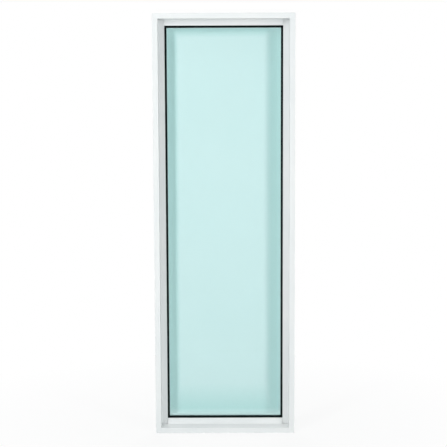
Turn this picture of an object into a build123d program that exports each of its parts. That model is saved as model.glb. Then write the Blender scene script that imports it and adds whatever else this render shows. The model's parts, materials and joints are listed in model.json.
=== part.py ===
from build123d import *
import os

# Fixed aluminium window, one tinted pane in a hollow extruded frame.
# +Z is up, -Y is the side with the beads, and the origin is the middle of the sill's underside. Millimetres.

# Overall size
window_width = 600.0
window_height = 1800.0

# Frame section: u runs inward from the outer edge, v runs back from the front face
face_width = 23.0        # front face of the frame, seen as the outer white border
ledge_depth = 52.0       # recess from the front face back to the bead
sill_fall = 3.0          # how much the sill's ledge drops towards the front, to shed water
upstand_depth = 32.0     # hollow upstand behind the glass
wall = 1.8               # extruded wall
edge_radius = 1.0        # outer corners of the section
joint_bevel = 0.4        # deburred end of head and sill, seen as a fine line at each joint

# Groove in the pocket floor that the bead's foot snaps into
clip_offset = 7.5        # middle of the groove behind the bead's front
clip_mouth = 2.6
clip_width = 4.2
clip_lip = 1.0
clip_depth = 4.2

# Groove round the outside for wall straps
strap_width = 16.0
strap_depth = 2.5

# Screw ports inside head and sill, and the holes for their screws in the jambs
port_radius = 4.2
port_bore = 2.2
port_gap = 2.0
port_root = 0.8          # how far a port is let into the web that carries it
port_inset = 11.5        # from the outer edge to the port's axis
screw_hole = 2.5         # radius, inner wall of the jamb
driver_hole = 5.0        # radius, outer wall of the jamb

# Glazing bead
bead_height = 25.2
bead_base = 12.0
bead_lean = 4.0          # how far the bead's nose stands back from its foot
bead_wall = 1.4
bead_nose_radius = 1.2
bead_end_gap = 0.5
foot_thickness = 1.6
foot_barb = 0.6
foot_clearance = 0.5     # from the foot's tip to the bottom of its groove

# Gaskets and glass
gasket_show = 9.0        # black rim that shows inside the bead
gasket_lap = 3.5         # how far the front gasket lies over the bead's nose
gasket_tip = 1.6         # thickness at the sight line
gasket_stem = 8.0        # depth of the front gasket behind the bead
front_gasket_gap = 4.0
rear_gasket_gap = 4.0
rear_gasket_height = 9.0
rear_gasket_drop = 2.5   # how far the rear gasket stays below the edge of the upstand
groove_width = 3.0
groove_depth = 3.0
glass_thickness = 6.0
glass_arris = 0.5        # bevel ground along the edges of the glass
edge_clearance = 8.0     # from the pocket floor to the glass edge

# Blocks under and beside the glass
block_length = 100.0
block_margin = 1.0       # to the bead and to the upstand
setting_block_inset = 130.0     # middle of a setting block from the outer edge
location_block_drop = 260.0     # middle of a location block from the top

# Drain slots in the sill
drain_length = 24.0
drain_width = 5.0
drain_inset = 190.0      # middle of a slot from the outer edge

# Fixing holes through the jambs into the wall
fixing_radius = 3.25
fixing_end = 150.0       # first hole from the top and from the bottom
fixing_count = 4

# Places through the depth, from the front face
bead_back = ledge_depth + bead_base
glass_front = bead_back + front_gasket_gap
glass_back = glass_front + glass_thickness
upstand_front = glass_back + rear_gasket_gap
frame_depth = upstand_front + upstand_depth
front_y = -frame_depth / 2
clip_v = ledge_depth + clip_offset
fixing_v = (bead_back + upstand_front) / 2
front_port_v = ledge_depth - wall - port_radius + port_root
rear_port_v = upstand_front + wall + port_radius - port_root
front_drain_v = ledge_depth / 2
strap_v = frame_depth - upstand_depth / 2

# Places inward from the outer edge
nose_offset = bead_height
sight_offset = bead_height + gasket_show
groove_offset = sight_offset - rear_gasket_drop - rear_gasket_height / 2
upstand_width = sight_offset
head_floor = face_width
sill_floor = face_width + sill_fall
jamb_floor = face_width

os.makedirs("parts", exist_ok=True)


def left_plane(z):
    """Section plane of a member on the left: x is inward, y is back, it extrudes upward."""
    return Plane(origin=(-window_width / 2, front_y, z), x_dir=(1, 0, 0), z_dir=(0, 0, 1))


def right_plane(z):
    """Section plane on the right, extruding downward."""
    return Plane(origin=(window_width / 2, front_y, z), x_dir=(-1, 0, 0), z_dir=(0, 0, -1))


def top_plane(x):
    """Section plane at the head, extruding to the right."""
    return Plane(origin=(x, front_y, window_height), x_dir=(0, 0, -1), z_dir=(1, 0, 0))


def bottom_plane(x):
    """Section plane at the sill, extruding to the left."""
    return Plane(origin=(x, front_y, 0), x_dir=(0, 0, 1), z_dir=(-1, 0, 0))


def draw_polygon(points, mode=Mode.ADD):
    """Closed polygon in the open sketch."""
    Polygon(*points, align=None, mode=mode)


def draw_frame_section(section, floor, with_ports):
    """Hollow section with a front lip, a ledge, the bead groove, and an upstand behind the glass."""
    sight = floor + sight_offset
    groove_low = floor + groove_offset - groove_width / 2
    groove_high = groove_low + groove_width
    draw_polygon([
        (0, 0), (face_width, 0), (floor, ledge_depth), (floor, upstand_front),
        (sight, upstand_front), (sight, frame_depth), (0, frame_depth),
    ])
    fillet(section.vertices().group_by(Axis.Y)[0] + section.vertices().group_by(Axis.Y)[-1], edge_radius)

    # Chambers: behind the front face, under the glazing pocket, in the tube and in the upstand
    clip_roof = floor - clip_depth - wall
    clip_far = clip_v + clip_width / 2 + wall
    draw_polygon([
        (wall, wall), (face_width - wall, wall),
        (floor - wall, ledge_depth - wall), (wall, ledge_depth - wall),
    ], Mode.SUBTRACT)
    draw_polygon([
        (wall, ledge_depth), (clip_roof, ledge_depth), (clip_roof, clip_far),
        (floor - wall, clip_far), (floor - wall, upstand_front), (wall, upstand_front),
    ], Mode.SUBTRACT)
    draw_polygon([
        (strap_depth + wall, upstand_front + wall), (floor - wall, upstand_front + wall),
        (floor - wall, frame_depth - wall), (strap_depth + wall, frame_depth - wall),
    ], Mode.SUBTRACT)
    draw_polygon([
        (floor, upstand_front + wall), (groove_low - wall, upstand_front + wall),
        (groove_low - wall, upstand_front + groove_depth + wall),
        (sight - wall, upstand_front + groove_depth + wall),
        (sight - wall, frame_depth - wall), (floor, frame_depth - wall),
    ], Mode.SUBTRACT)

    # Bead groove with a narrow mouth, gasket groove and strap groove
    with Locations((floor - clip_lip / 2, clip_v)):
        Rectangle(clip_lip, clip_mouth, mode=Mode.SUBTRACT)
    with Locations((floor - (clip_lip + clip_depth) / 2, clip_v)):
        Rectangle(clip_depth - clip_lip, clip_width, mode=Mode.SUBTRACT)
    with Locations(((groove_low + groove_high) / 2, upstand_front + groove_depth / 2)):
        Rectangle(groove_width, groove_depth, mode=Mode.SUBTRACT)
    with Locations((strap_depth / 2, strap_v)):
        Rectangle(strap_depth, strap_width, mode=Mode.SUBTRACT)

    if with_ports:
        for port_v, open_side in ((front_port_v, -1), (rear_port_v, 1)):
            with Locations((port_inset, port_v)):
                Circle(port_radius)
                Circle(port_bore, mode=Mode.SUBTRACT)
            with Locations((port_inset, port_v + open_side * port_radius / 2)):
                Rectangle(port_gap, port_radius, mode=Mode.SUBTRACT)


def make_jamb(side, plane):
    """Jamb of full height, notched at both ends so that head and sill fit between the jambs."""
    with BuildPart() as jamb:
        with BuildSketch(plane) as section:
            draw_frame_section(section, jamb_floor, with_ports=False)
        extrude(amount=window_height)

        # Upstand cut away where the head and the sill pass
        notch_x = side * (window_width / 2 - jamb_floor - upstand_width / 2)
        notch_y = front_y + upstand_front + upstand_depth / 2
        with Locations((notch_x, notch_y, window_height - head_floor / 2)):
            Box(upstand_width, upstand_depth, head_floor, mode=Mode.SUBTRACT)
        with Locations((notch_x, notch_y, sill_floor / 2)):
            Box(upstand_width, upstand_depth, sill_floor, mode=Mode.SUBTRACT)

        # Wall fixings pass both walls; corner screws have a wide hole for the driver outside
        outer = Plane(origin=(side * window_width / 2, 0, 0), x_dir=(0, side, 0), z_dir=(side, 0, 0))
        fixing_pitch = (window_height - 2 * fixing_end) / (fixing_count - 1)
        with BuildSketch(outer):
            with Locations(*[
                (side * (front_y + fixing_v), fixing_end + i * fixing_pitch) for i in range(fixing_count)
            ]):
                Circle(fixing_radius)
        extrude(amount=-jamb_floor, mode=Mode.SUBTRACT)
        screw_places = [
            (side * (front_y + v), z)
            for v in (front_port_v, rear_port_v) for z in (port_inset, window_height - port_inset)
        ]
        for radius, reach in ((driver_hole, jamb_floor / 2), (screw_hole, jamb_floor)):
            with BuildSketch(outer):
                with Locations(*screw_places):
                    Circle(radius)
            extrude(amount=-reach, mode=Mode.SUBTRACT)
    return jamb


def make_rail(plane, floor):
    """Head or sill between the jambs, its upstand cut back to fit between theirs."""
    length = window_width - 2 * jamb_floor
    with BuildPart() as rail:
        with BuildSketch(plane) as section:
            draw_frame_section(section, floor, with_ports=True)
        extrude(amount=length)
        for start in (0, length - upstand_width):
            with BuildSketch(plane.offset(start)):
                with Locations((floor + upstand_width / 2, upstand_front + upstand_depth / 2)):
                    Rectangle(upstand_width, upstand_depth)
            extrude(amount=upstand_width, mode=Mode.SUBTRACT)
        front_ends = rail.edges().filter_by(Axis.Z).group_by(Axis.Y)[0]
        chamfer(front_ends, joint_bevel)
    return rail


def draw_bead_section(section, floor):
    """Hollow bead with a face that leans back and a barbed foot for the groove."""
    nose = floor + nose_offset
    draw_polygon([
        (floor, ledge_depth), (nose, ledge_depth + bead_lean), (nose, bead_back), (floor, bead_back),
    ])
    nose_corner = section.vertices().group_by(Axis.X)[-1].sort_by(Axis.Y)[0]
    fillet(nose_corner, bead_nose_radius)
    offset(amount=-bead_wall, kind=Kind.INTERSECTION, mode=Mode.SUBTRACT)
    foot_tip = floor - clip_depth + foot_clearance
    with Locations(((floor + foot_tip) / 2, clip_v)):
        Rectangle(floor - foot_tip, foot_thickness)
    barb_root = floor - clip_lip
    half = foot_thickness / 2
    for way in (1, -1):
        draw_polygon([
            (barb_root, clip_v + way * half), (barb_root, clip_v + way * (half + foot_barb)),
            (foot_tip, clip_v + way * half),
        ])


def make_bead(plane, floor, length):
    with BuildPart() as bead:
        with BuildSketch(plane) as section:
            draw_bead_section(section, floor)
        extrude(amount=length)
    return bead


def draw_front_gasket_section(floor):
    """Wedge between bead and glass with the rim that shows."""
    nose = floor + nose_offset
    sight = floor + sight_offset
    draw_polygon([
        (nose - gasket_stem, bead_back), (nose, bead_back), (nose, bead_back - gasket_lap),
        (sight, glass_front - gasket_tip), (sight, glass_front), (nose - gasket_stem, glass_front),
    ])


def make_front_gasket(plane, length, floor, mitre_planes):
    """Length of wedge gasket with both ends mitred."""
    with BuildPart() as gasket:
        with BuildSketch(plane):
            draw_front_gasket_section(floor)
        extrude(amount=length)
        for mitre_plane in mitre_planes:
            split(bisect_by=mitre_plane, keep=Keep.TOP)
    return gasket


def make_rear_gasket(plane, length, floor, mitre_planes):
    """Mitred pad behind the glass, with a stem in the groove of the upstand that carries it."""
    with BuildPart() as gasket:
        with BuildSketch(plane):
            with Locations((floor + groove_offset, glass_back + rear_gasket_gap / 2)):
                Rectangle(rear_gasket_height, rear_gasket_gap)
        extrude(amount=length)
        for mitre_plane in mitre_planes:
            split(bisect_by=mitre_plane, keep=Keep.TOP)
        with BuildSketch(plane.offset(upstand_width)):
            with Locations((floor + groove_offset, upstand_front + groove_depth / 2)):
                Rectangle(groove_width, groove_depth)
        extrude(amount=length - 2 * upstand_width)
    return gasket


def make_block(x, z, size_x, size_z):
    """Plastic block in the glazing pocket, clear of bead and upstand."""
    block_depth = upstand_front - bead_back - 2 * block_margin
    with BuildPart() as block:
        with Locations((x, front_y + (bead_back + upstand_front) / 2, z)):
            Box(size_x, block_depth, size_z)
    return block


def finish(builder, label):
    builder.part.label = label
    export_step(builder.part, f"parts/{label}.step")


# Frame
rail_end = window_width / 2 - jamb_floor
left_jamb = make_jamb(-1, left_plane(0))
right_jamb = make_jamb(1, right_plane(window_height))
head = make_rail(top_plane(-rail_end), head_floor)

sill = make_rail(bottom_plane(rail_end), sill_floor)
with BuildPart() as drained_sill:
    add(sill.part)
    # Slots let water out of the glazing pocket and then out of the front chamber
    for slot_v, slot_z in ((fixing_v, sill_floor), (front_drain_v, wall)):
        for side in (-1, 1):
            place = (side * (window_width / 2 - drain_inset), front_y + slot_v, slot_z)
            with BuildSketch(Plane.XY.offset(slot_z)):
                with Locations(place[:2]):
                    SlotOverall(drain_length, drain_width)
            extrude(amount=-2 * wall, mode=Mode.SUBTRACT)

finish(head, "head")
finish(drained_sill, "sill")
finish(left_jamb, "left_jamb")
finish(right_jamb, "right_jamb")

# Beads: the upright ones run from sill to head, the level ones fit between them
upright_bead = window_height - head_floor - sill_floor - 2 * bead_end_gap
level_end = window_width / 2 - jamb_floor - nose_offset - bead_end_gap
left_bead = make_bead(left_plane(sill_floor + bead_end_gap), jamb_floor, upright_bead)
right_bead = make_bead(right_plane(window_height - head_floor - bead_end_gap), jamb_floor, upright_bead)
head_bead = make_bead(top_plane(-level_end), head_floor, 2 * level_end)
sill_bead = make_bead(bottom_plane(level_end), sill_floor, 2 * level_end)
finish(left_bead, "left_bead")
finish(right_bead, "right_bead")
finish(head_bead, "head_bead")
finish(sill_bead, "sill_bead")

# Gaskets: each mitre plane runs at 45 degrees through a corner of the glazing pocket
pocket_left = -window_width / 2 + jamb_floor
pocket_right = -pocket_left
pocket_top = window_height - head_floor
gasket_corners = {
    "top_left": ((pocket_left, 0, pocket_top), (1, 0, 1)),
    "top_right": ((pocket_right, 0, pocket_top), (-1, 0, 1)),
    "bottom_left": ((pocket_left, 0, sill_floor), (1, 0, -1)),
    "bottom_right": ((pocket_right, 0, sill_floor), (-1, 0, -1)),
}


def mitre(corner, sign):
    """Plane through a pocket corner that faces the level piece (sign 1) or the upright one (sign -1)."""
    origin, normal = gasket_corners[corner]
    return Plane(origin=origin, z_dir=tuple(sign * n for n in normal))


for where, make_gasket in (("front", make_front_gasket), ("rear", make_rear_gasket)):
    level = ((top_plane(pocket_left), head_floor, "head", "top"),
             (bottom_plane(pocket_right), sill_floor, "sill", "bottom"))
    for plane, floor, name, end in level:
        cuts = [mitre(f"{end}_left", 1), mitre(f"{end}_right", 1)]
        gasket = make_gasket(plane, pocket_right - pocket_left, floor, cuts)
        finish(gasket, f"{name}_{where}_gasket")
    upright = ((left_plane(sill_floor), "left"), (right_plane(pocket_top), "right"))
    for plane, name in upright:
        cuts = [mitre(f"top_{name}", -1), mitre(f"bottom_{name}", -1)]
        gasket = make_gasket(plane, pocket_top - sill_floor, jamb_floor, cuts)
        finish(gasket, f"{name}_{where}_gasket")

# Glass on its setting blocks
glass_width = window_width - 2 * (jamb_floor + edge_clearance)
glass_low = sill_floor + edge_clearance
glass_high = window_height - head_floor - edge_clearance
with BuildPart() as glass_pane:
    with Locations((0, front_y + (glass_front + glass_back) / 2, (glass_low + glass_high) / 2)):
        Box(glass_width, glass_thickness, glass_high - glass_low)
    chamfer(glass_pane.edges(), glass_arris)
finish(glass_pane, "glass_pane")

block_mid = edge_clearance / 2
for name, side in (("left", -1), ("right", 1)):
    setting_x = side * (window_width / 2 - setting_block_inset)
    setting_block = make_block(setting_x, sill_floor + block_mid, block_length, edge_clearance)
    finish(setting_block, f"{name}_setting_block")
    location_x = side * (window_width / 2 - jamb_floor - block_mid)
    location_z = window_height - location_block_drop
    location_block = make_block(location_x, location_z, edge_clearance, block_length)
    finish(location_block, f"{name}_location_block")
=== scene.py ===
import json
import math

import bmesh
import bpy
from mathutils import Matrix, Vector


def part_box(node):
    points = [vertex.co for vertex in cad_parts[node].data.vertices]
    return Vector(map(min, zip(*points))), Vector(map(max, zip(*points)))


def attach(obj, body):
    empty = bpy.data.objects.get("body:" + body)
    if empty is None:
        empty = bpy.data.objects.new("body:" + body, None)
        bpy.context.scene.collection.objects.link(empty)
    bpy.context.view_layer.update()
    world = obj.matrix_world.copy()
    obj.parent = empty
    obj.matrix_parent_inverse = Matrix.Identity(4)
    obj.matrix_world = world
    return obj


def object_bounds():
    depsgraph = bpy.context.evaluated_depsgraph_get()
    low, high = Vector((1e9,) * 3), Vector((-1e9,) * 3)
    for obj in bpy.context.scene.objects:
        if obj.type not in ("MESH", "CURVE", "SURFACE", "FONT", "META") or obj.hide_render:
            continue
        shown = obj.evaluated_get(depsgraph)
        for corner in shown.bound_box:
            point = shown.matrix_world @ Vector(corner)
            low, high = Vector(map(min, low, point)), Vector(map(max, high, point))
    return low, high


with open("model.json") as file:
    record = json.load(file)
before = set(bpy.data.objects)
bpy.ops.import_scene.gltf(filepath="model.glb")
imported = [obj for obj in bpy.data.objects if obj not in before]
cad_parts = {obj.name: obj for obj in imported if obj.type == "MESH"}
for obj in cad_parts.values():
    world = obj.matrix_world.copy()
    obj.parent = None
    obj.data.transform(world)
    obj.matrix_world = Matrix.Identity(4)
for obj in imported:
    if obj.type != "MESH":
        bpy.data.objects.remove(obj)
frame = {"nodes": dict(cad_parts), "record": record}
cad_low, cad_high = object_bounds()
nodes = frame["nodes"]
MM = 0.001

# Camera, fitted to the outer edges and the gasket lines in the photograph
CAMERA_PLACE = (0.0124, -4.8, 1.426)
CAMERA_YAW = math.radians(0.196)     # to the left
CAMERA_PITCH = math.radians(6.14)    # downward
CAMERA_ROLL = math.radians(0.217)
FOCAL_PIXELS = 1120.9
IMAGE_PIXELS = 447
SENSOR_MM = 36.0

# Softboxes, all turned to the middle of the window, and the even light between them
LAMPS = {
    "left": {"place": (-2.0, -3.46, 2.4), "size": (0.6, 2.4), "power": 66.0},
    "right": {"place": (4.0, -5.12, 2.4), "size": (0.9, 2.4), "power": 96.0},
    "overhead": {"place": (0.0, -1.2, 7.5), "size": (3.0, 2.0), "power": 32.0},
    "above_camera": {"place": (-0.6, -4.0, 6.5), "size": (2.0, 2.0), "power": 30.0},
    "behind": {"place": (0.0, 3.6, 2.4), "size": (2.4, 2.4), "power": 65.0},
}
WHITE = (1.0, 1.0, 1.0, 1.0)
AMBIENT = 0.33
AMBIENT_TINT = (0.91, 1.0, 1.0, 1.0)    # cool light in the shade

# White wall close behind the window: the lamps cast the frame's soft shadow on it, and painted shade in its
# colour deepens that shadow near the edges of the opening and towards the bottom
WALL_GAP = 0.02              # from the back of the frame
WALL_WIDTH = 4.0
WALL_TOP = 3.4
WALL_LIT = (0.97, 0.97, 0.97, 1.0)
# colour of the painted shade, cooler than the wall's white
WALL_PAINTED_SHADE_COLOUR = (0.75, 0.885, 0.87, 1.0)
WALL_PAINTED_SHADE = (               # where the painted shade deepens, towards the left, the right, the top and the bottom
    ("X", -0.195, -0.215),
    ("X", 0.177, 0.206),
    ("Z", 1.706, 1.735),
    ("Z", 0.19, 0.07),
)
WALL_PAINTED_SHADE_FADE = (0.053, 0.078)   # heights between which the painted shade fades out again, down to the sill, leaving a painted lighter strip

# Floor, with the window's shadow on it
FLOOR_RADIUS = 12.0
FLOOR_SIDES = 64
FLOOR_COLOUR = (0.92, 0.92, 0.92, 1.0)
FLOOR_ROUGHNESS = 0.9
FLOOR_WHITE = 0.85           # share of plain white in the floor beside the window
FLOOR_FADE = (0.3, 1.5)      # distances from the middle between which that share rises to 1

# Finishes: a scale is a noise's waves a metre, and a spread is the range of the noise that is used
SOFT_SPREAD = (0.3, 0.7)
CRISP_SPREAD = (0.35, 0.65)

COAT_DEEP = (0.845, 0.865, 0.87, 1.0)
COAT_PALE = (0.88, 0.89, 0.89, 1.0)
COAT_CLOUD_SCALE = 5.0
COAT_GLOSS_SCALE = 40.0
COAT_ROUGHNESS = (0.34, 0.46)
COAT_PEEL = {"scale": 620.0, "detail": 1.5}
COAT_PEEL_BUMP = {"Strength": 0.12, "Distance": 0.3 * MM}

SAWN_DARK = (0.40, 0.41, 0.42, 1.0)
SAWN_BRIGHT = (0.54, 0.55, 0.56, 1.0)
SAW_MARKS = {"scale": 300.0, "stretch": (1, 12, 1)}
SAWN_WITHIN = 0.02 * MM      # of the height of a cut
SAWN_LEVEL = (0.9, 0.99)     # upright share of the normal on a sawn face

RUBBER_BLACK = (0.003, 0.007, 0.007, 1.0)
RUBBER_BLOOM = (0.007, 0.012, 0.012, 1.0)
RUBBER_BLOOM_SCALE = 90.0
RUBBER_BLOOM_SPREAD = (0.45, 0.75)
RUBBER_GLOSS_SCALE = 500.0
RUBBER_ROUGHNESS = (0.62, 0.8)
RUBBER_SPECULAR = 0.1
RUBBER_GRAIN_SCALE = 1400.0
RUBBER_GRAIN_BUMP = {"Strength": 0.15, "Distance": 0.2 * MM}

GLASS_DEEP = (0.623, 0.865, 0.86, 1.0)
GLASS_PALE = (0.639, 0.873, 0.868, 1.0)
GLASS_CLOUD_SCALE = 3.0
GLASS_WIPES = {"scale": 12.0, "stretch": (1, 1, 4)}
GLASS_WIPE_SPREAD = (0.55, 0.8)
GLASS_ROUGHNESS = (0.0, 0.02)
GLASS_IOR = 1.5

PLASTIC_DARK = (0.012, 0.012, 0.013, 1.0)
PLASTIC_PALE = (0.02, 0.02, 0.021, 1.0)
PLASTIC_GRAIN_SCALE = 250.0
PLASTIC_ROUGHNESS = (0.5, 0.6)

ZINC_DARK = (0.52, 0.53, 0.55, 1.0)
ZINC_BRIGHT = (0.68, 0.69, 0.70, 1.0)
ZINC_SPOT_SCALE = 900.0
ZINC_ROUGHNESS = (0.25, 0.4)

# Screws that hold the corners, seen down the driver holes in the jambs
SCREW_INSET = 11.5 * MM               # from the top and bottom of the jamb
SCREW_DEPTHS = (-8.2 * MM, 28.2 * MM)   # front and rear screw
SCREW_SEAT = 21.2 * MM                # from the outside of the jamb
SCREW_HEAD_RADIUS = 3.3 * MM          # clear of the web beside it
SCREW_HEAD_HEIGHT = 2.2 * MM
SCREW_PROFILE = ((0.97, 0.0), (1.0, 0.2), (0.96, 0.55), (0.82, 0.84), (0.58, 1.0))   # shares of those two
SCREW_SIDES = 32
SCREW_TWIST = math.radians(37.0)      # from one screw's recess to the next
RECESS_LENGTH = 3.5 * MM
RECESS_WIDTH = 0.85 * MM
RECESS_DEPTH = 1.4 * MM
RECESS_TAPER = 0.7                    # share of its size at the bottom


def set_inputs(node, values):
    """Sets a node's unlinked inputs, by input name or number."""
    for name, value in values.items():
        node.inputs[name].default_value = value


def feed(tree, node, sockets):
    """Links sockets to a node's inputs, by input name or number."""
    for name, socket in sockets.items():
        tree.links.new(socket, node.inputs[name])


def add_node(tree, kind, inputs=None, **settings):
    """New shader node with its inputs and settings."""
    made = tree.nodes.new(kind)
    for name, value in settings.items():
        setattr(made, name, value)
    set_inputs(made, inputs or {})
    return made


def new_material(name, inputs=None):
    """Material with a Principled shader and its plain inputs; returns it with its tree and shader."""
    material = bpy.data.materials.new(name)
    material.use_nodes = True
    tree = material.node_tree
    shader = tree.nodes["Principled BSDF"]
    set_inputs(shader, inputs or {})
    return material, tree, shader


def own_place(tree):
    """Place on the piece, in metres."""
    return add_node(tree, "ShaderNodeTexCoord").outputs["Object"]


def split(tree, vector):
    """X, Y and Z of a vector socket."""
    made = add_node(tree, "ShaderNodeSeparateXYZ")
    feed(tree, made, {"Vector": vector})
    return made.outputs


def noise(tree, place, scale, detail=3.0, stretch=(1, 1, 1)):
    """Noise value at a place."""
    mapping = add_node(tree, "ShaderNodeMapping", {"Scale": stretch})
    texture = add_node(tree, "ShaderNodeTexNoise", {"Scale": scale, "Detail": detail})
    feed(tree, mapping, {"Vector": place})
    feed(tree, texture, {"Vector": mapping.outputs["Vector"]})
    return texture.outputs["Fac"]


def remap(tree, value, start, result=(0.0, 1.0)):
    """Value from one range to another, held at the ends."""
    made = add_node(tree, "ShaderNodeMapRange", {
        "From Min": start[0], "From Max": start[1], "To Min": result[0], "To Max": result[1],
    })
    feed(tree, made, {"Value": value})
    return made.outputs["Result"]


def combine(tree, operation, *values):
    """Sockets put through one kind of Math node, one after the other."""
    result = values[0]
    for value in values[1:]:
        made = add_node(tree, "ShaderNodeMath", operation=operation)
        feed(tree, made, {0: result, 1: value})
        result = made.outputs["Value"]
    return result


def mix_colours(tree, share, first, second):
    """Colour mixed by a socket; each colour is a tuple or a socket."""
    made = add_node(tree, "ShaderNodeMix", data_type="RGBA")
    feed(tree, made, {"Factor": share})
    for name, colour in (("A", first), ("B", second)):
        socket = next(s for s in made.inputs if s.name == name and s.type == "RGBA")
        if isinstance(colour, tuple):
            socket.default_value = colour
        else:
            tree.links.new(colour, socket)
    return next(s for s in made.outputs if s.type == "RGBA")


def bump(tree, height, inputs):
    """Normal raised by a height socket."""
    made = add_node(tree, "ShaderNodeBump", inputs)
    feed(tree, made, {"Height": height})
    return made.outputs["Normal"]


def sawn_share(tree, place, cut_heights):
    """Socket that is 1 on the level faces at the given heights."""
    height = split(tree, place)["Z"]
    at_cuts = []
    for cut in cut_heights:
        near = add_node(tree, "ShaderNodeMath", {1: cut, 2: SAWN_WITHIN}, operation="COMPARE")
        feed(tree, near, {0: height})
        at_cuts.append(near.outputs["Value"])
    normal = add_node(tree, "ShaderNodeNewGeometry").outputs["True Normal"]
    upright = add_node(tree, "ShaderNodeMath", operation="ABSOLUTE")
    feed(tree, upright, {0: split(tree, normal)["Z"]})
    level = remap(tree, upright.outputs["Value"], SAWN_LEVEL)
    return combine(tree, "MULTIPLY", combine(tree, "MAXIMUM", *at_cuts), level)


def powder_coat(name, cut_heights=()):
    """White satin powder coat; where the extrusion was sawn, at the given heights, the metal is bare."""
    material, tree, shader = new_material(name)
    place = own_place(tree)
    cloud = remap(tree, noise(tree, place, COAT_CLOUD_SCALE), CRISP_SPREAD)
    colour = mix_colours(tree, cloud, COAT_DEEP, COAT_PALE)
    if cut_heights:
        bare = sawn_share(tree, place, cut_heights)
        marks = remap(tree, noise(tree, place, **SAW_MARKS), SOFT_SPREAD)
        metal = mix_colours(tree, marks, SAWN_DARK, SAWN_BRIGHT)
        colour = mix_colours(tree, bare, colour, metal)
        feed(tree, shader, {"Metallic": bare})
    feed(tree, shader, {
        "Base Color": colour,
        "Roughness": remap(tree, noise(tree, place, COAT_GLOSS_SCALE), SOFT_SPREAD, COAT_ROUGHNESS),
        "Normal": bump(tree, noise(tree, place, **COAT_PEEL), COAT_PEEL_BUMP),
    })
    return material


def black_rubber():
    """Matt extruded rubber with a little grey bloom."""
    material, tree, shader = new_material("gasket_rubber", {"Specular IOR Level": RUBBER_SPECULAR})
    place = own_place(tree)
    bloom = remap(tree, noise(tree, place, RUBBER_BLOOM_SCALE), RUBBER_BLOOM_SPREAD)
    feed(tree, shader, {
        "Base Color": mix_colours(tree, bloom, RUBBER_BLACK, RUBBER_BLOOM),
        "Roughness": remap(tree, noise(tree, place, RUBBER_GLOSS_SCALE), SOFT_SPREAD, RUBBER_ROUGHNESS),
        "Normal": bump(tree, noise(tree, place, RUBBER_GRAIN_SCALE), RUBBER_GRAIN_BUMP),
    })
    return material


def tinted_glass():
    """Pale green-blue float glass with a hardly visible cloud in its tint and a trace of wiping marks."""
    material, tree, shader = new_material("pane_glass", {"IOR": GLASS_IOR, "Transmission Weight": 1.0})
    place = own_place(tree)
    cloud = remap(tree, noise(tree, place, GLASS_CLOUD_SCALE), SOFT_SPREAD)
    feed(tree, shader, {
        "Base Color": mix_colours(tree, cloud, GLASS_DEEP, GLASS_PALE),
        "Roughness": remap(tree, noise(tree, place, **GLASS_WIPES), GLASS_WIPE_SPREAD, GLASS_ROUGHNESS),
    })
    return material


def block_plastic():
    """Dark moulded plastic of the glazing blocks."""
    material, tree, shader = new_material("block_plastic")
    grain = remap(tree, noise(tree, own_place(tree), PLASTIC_GRAIN_SCALE), CRISP_SPREAD)
    feed(tree, shader, {
        "Base Color": mix_colours(tree, grain, PLASTIC_DARK, PLASTIC_PALE),
        "Roughness": remap(tree, grain, (0, 1), PLASTIC_ROUGHNESS),
    })
    return material


def zinc():
    """Bright zinc plating on the screws."""
    material, tree, shader = new_material("screw_zinc", {"Metallic": 1.0})
    spots = remap(tree, noise(tree, own_place(tree), ZINC_SPOT_SCALE), CRISP_SPREAD)
    feed(tree, shader, {
        "Base Color": mix_colours(tree, spots, ZINC_DARK, ZINC_BRIGHT),
        "Roughness": remap(tree, spots, (0, 1), ZINC_ROUGHNESS),
    })
    return material


def dress_frame():
    """Gives each CAD node its finish."""
    jamb_coat = powder_coat("jamb_coat", (cad_low.z, cad_high.z))
    finishes = {
        "white_frame": powder_coat("frame_coat"),
        "black_gasket": black_rubber(),
        "tinted_glass": tinted_glass(),
        "glazing_block": block_plastic(),
    }
    for part in frame["record"]["subparts"]:
        is_jamb = part["node"].endswith("_jamb")
        mesh = nodes[part["node"]].data
        mesh.materials.clear()
        mesh.materials.append(jamb_coat if is_jamb else finishes[part["material_slot"]])

    # Light passes the clear pane to the frame and the floor
    nodes["glass_pane"].visible_shadow = False
    nodes["glass_pane"].visible_diffuse = False


def link(obj):
    """Puts an object into the scene."""
    bpy.context.scene.collection.objects.link(obj)
    return obj


def circle(radius, sides):
    """Places round a circle."""
    turns = [2 * math.pi * i / sides for i in range(sides)]
    return [(radius * math.cos(turn), radius * math.sin(turn)) for turn in turns]


def ring(shape, radius, height):
    """Points of a level circle."""
    return [shape.verts.new((*place, height)) for place in circle(radius, SCREW_SIDES)]


def cross(shape, share, height):
    """Points of a level cross, three to each arm, at a share of the recess's size."""
    reach = share * RECESS_LENGTH / 2
    half = share * RECESS_WIDTH / 2
    corners = [Vector(corner) for corner in ((reach, -half), (reach, half), (half, half))]
    quarters = [Matrix.Rotation(quarter * math.pi / 2, 2) for quarter in range(4)]
    return [shape.verts.new((*(quarter @ corner), height)) for quarter in quarters for corner in corners]


def neighbours(loop):
    """Pairs of points that follow each other round a loop."""
    return list(zip(loop, loop[1:] + loop[:1]))


def join_loops(shape, low, high):
    """Band of faces between two loops with as many points."""
    return [
        shape.faces.new((a, b, d, c))
        for (a, b), (c, d) in zip(neighbours(low), neighbours(high))
    ]


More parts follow.
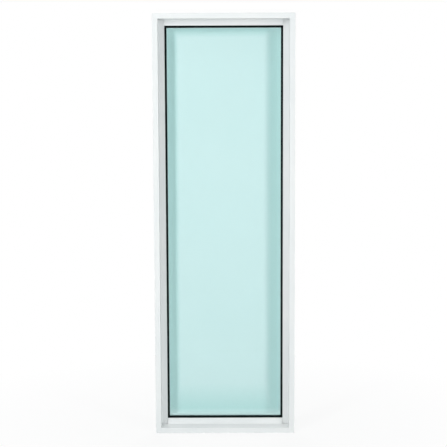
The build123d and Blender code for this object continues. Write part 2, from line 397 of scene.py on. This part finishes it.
def screw_head():
    """Pan head with a tapered cross recess, its seat at z = 0."""
    shape = bmesh.new()
    rims = [ring(shape, SCREW_HEAD_RADIUS * out, SCREW_HEAD_HEIGHT * up) for out, up in SCREW_PROFILE]
    for low, high in zip(rims, rims[1:]):
        for face in join_loops(shape, low, high):
            face.smooth = True
    shape.faces.new(rims[0])

    # Recess and the flat round its mouth
    mouth = cross(shape, 1.0, SCREW_HEAD_HEIGHT)
    bottom = cross(shape, RECESS_TAPER, SCREW_HEAD_HEIGHT - RECESS_DEPTH)
    join_loops(shape, bottom, mouth)
    edges = [shape.edges.get(pair) for loop in (rims[-1], mouth) for pair in neighbours(loop)]
    bmesh.ops.triangle_fill(shape, edges=edges, use_beauty=True)

    # Bottom of the recess: its middle and four arms
    tips_before, tips_after, inner = bottom[0::3], bottom[1::3], bottom[2::3]
    shape.faces.new(inner)
    for corners in zip(inner[-1:] + inner[:-1], tips_before, tips_after, inner):
        shape.faces.new(corners)

    bmesh.ops.recalc_face_normals(shape, faces=shape.faces)
    mesh = bpy.data.meshes.new("screw_head")
    shape.to_mesh(mesh)
    shape.free()
    return mesh


def screw_seats():
    """Places of the screws: two at each corner, on the inner wall of the jamb."""
    seats = []
    for side, jamb in ((-1, "left_jamb"), (1, "right_jamb")):
        low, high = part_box(jamb)
        outside = low.x if side < 0 else high.x
        turn = Matrix.Rotation(side * math.pi / 2, 4, "Y")
        for depth in SCREW_DEPTHS:
            for height in (low.z + SCREW_INSET, high.z - SCREW_INSET):
                seats.append(Matrix.Translation((outside - side * SCREW_SEAT, depth, height)) @ turn)
    return seats


def corner_screws():
    """All corner screws as one piece."""
    head = screw_head()
    whole = bmesh.new()
    for i, seat in enumerate(screw_seats()):
        copy = head.copy()
        copy.transform(seat @ Matrix.Rotation(i * SCREW_TWIST, 4, "Z"))
        whole.from_mesh(copy)
        bpy.data.meshes.remove(copy)
    bpy.data.meshes.remove(head)
    mesh = bpy.data.meshes.new("corner_screws")
    whole.to_mesh(mesh)
    whole.free()
    mesh.materials.append(zinc())
    screws = link(bpy.data.objects.new("corner_screws", mesh))
    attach(screws, "root")


def seen_white(tree):
    """Socket that is 1 for rays that show the background: from the camera, in gloss and through glass."""
    rays = add_node(tree, "ShaderNodeLightPath").outputs
    return combine(tree, "MAXIMUM", rays["Is Camera Ray"], rays["Is Glossy Ray"], rays["Is Transmission Ray"])


def white_world():
    """White to look at, and a plain soft light on the object."""
    world = bpy.data.worlds.new("studio")
    world.use_nodes = True
    bpy.context.scene.world = world
    tree = world.node_tree
    seen = seen_white(tree)
    feed(tree, tree.nodes["Background"], {
        "Color": mix_colours(tree, seen, AMBIENT_TINT, WHITE),
        "Strength": remap(tree, seen, (0, 1), (AMBIENT, 1.0)),
    })


def stage_plane(name, corners):
    """One flat face of the studio."""
    mesh = bpy.data.meshes.new(name)
    mesh.from_pydata(corners, [], [range(len(corners))])
    made = link(bpy.data.objects.new(name, mesh))
    return made


def floor():
    """Pale floor that keeps the shadow near the window and runs out into the white."""
    made = stage_plane("floor", [(x, y, cad_low.z) for x, y in circle(FLOOR_RADIUS, FLOOR_SIDES)])
    material, tree, shader = new_material("floor", {
        "Base Color": FLOOR_COLOUR, "Roughness": FLOOR_ROUGHNESS, "Specular IOR Level": 0.0,
    })
    light = add_node(tree, "ShaderNodeEmission", {"Color": WHITE, "Strength": 1.0})
    distance = add_node(tree, "ShaderNodeVectorMath", operation="LENGTH")
    feed(tree, distance, {0: own_place(tree)})
    far = remap(tree, distance.outputs["Value"], FLOOR_FADE, (FLOOR_WHITE, 1.0))
    mixed = add_node(tree, "ShaderNodeMixShader")
    feed(tree, mixed, {
        "Fac": combine(tree, "MULTIPLY", far, seen_white(tree)),
        1: shader.outputs["BSDF"],
        2: light.outputs["Emission"],
    })
    feed(tree, tree.nodes["Material Output"], {"Surface": mixed.outputs["Shader"]})
    made.data.materials.append(material)


def wall_behind():
    """White wall seen only through the glass; the lamps cast the frame's soft shadow on it, and its colour
    holds painted shade near the edges of the opening.
    """
    y = cad_high.y + WALL_GAP
    left, right = -WALL_WIDTH / 2, WALL_WIDTH / 2
    made = stage_plane("wall_behind", [
        (left, y, cad_low.z), (right, y, cad_low.z), (right, y, WALL_TOP), (left, y, WALL_TOP),
    ])
    material, tree, shader = new_material("wall", {"Roughness": 1.0, "Specular IOR Level": 0.0})
    place = split(tree, own_place(tree))
    # Painted shade: the colour darkens towards the edges of the opening and the bottom, and fades out again
    # just above the sill
    painted_shades = [remap(tree, place[axis], (start, end)) for axis, start, end in WALL_PAINTED_SHADE]
    shade = combine(tree, "MAXIMUM", *painted_shades)
    painted_shade_share = combine(tree, "MINIMUM", shade, remap(tree, place["Z"], WALL_PAINTED_SHADE_FADE))
    feed(tree, shader, {"Base Color": mix_colours(tree, painted_shade_share, WALL_LIT, WALL_PAINTED_SHADE_COLOUR)})
    made.data.materials.append(material)
    made.visible_camera = False
    made.visible_diffuse = False
    made.visible_glossy = False
    made.visible_shadow = False


def lights():
    """Soft lights that look at the middle of the window and don't show themselves."""
    middle = (cad_low + cad_high) / 2
    for name, spec in LAMPS.items():
        data = bpy.data.lights.new(name, "AREA")
        data.shape = "RECTANGLE"
        data.size, data.size_y = spec["size"]
        data.energy = spec["power"]
        made = link(bpy.data.objects.new(name, data))
        place = Vector(spec["place"])
        made.location = place
        made.rotation_mode = "QUATERNION"
        made.rotation_quaternion = (middle - place).to_track_quat("-Z", "Y")
        made.visible_camera = False
        made.visible_glossy = False


def camera():
    """Camera at the photograph's place, from its yaw, pitch and roll."""
    data = bpy.data.cameras.new("camera")
    data.sensor_width = SENSOR_MM
    data.lens = FOCAL_PIXELS / IMAGE_PIXELS * SENSOR_MM
    made = link(bpy.data.objects.new("camera", data))
    cos_yaw, sin_yaw = math.cos(CAMERA_YAW), math.sin(CAMERA_YAW)
    cos_pitch, sin_pitch = math.cos(CAMERA_PITCH), math.sin(CAMERA_PITCH)
    level_right = Vector((cos_yaw, sin_yaw, 0))
    level_up = Vector((-sin_yaw * sin_pitch, cos_yaw * sin_pitch, cos_pitch))
    right = math.cos(CAMERA_ROLL) * level_right - math.sin(CAMERA_ROLL) * level_up
    up = math.sin(CAMERA_ROLL) * level_right + math.cos(CAMERA_ROLL) * level_up
    turn = Matrix((right, up, right.cross(up))).transposed().to_4x4()
    made.matrix_world = Matrix.Translation(CAMERA_PLACE) @ turn
    bpy.context.scene.camera = made


dress_frame()
corner_screws()
white_world()
floor()
wall_behind()
lights()
camera()
bpy.context.scene.view_settings.view_transform = "Standard"
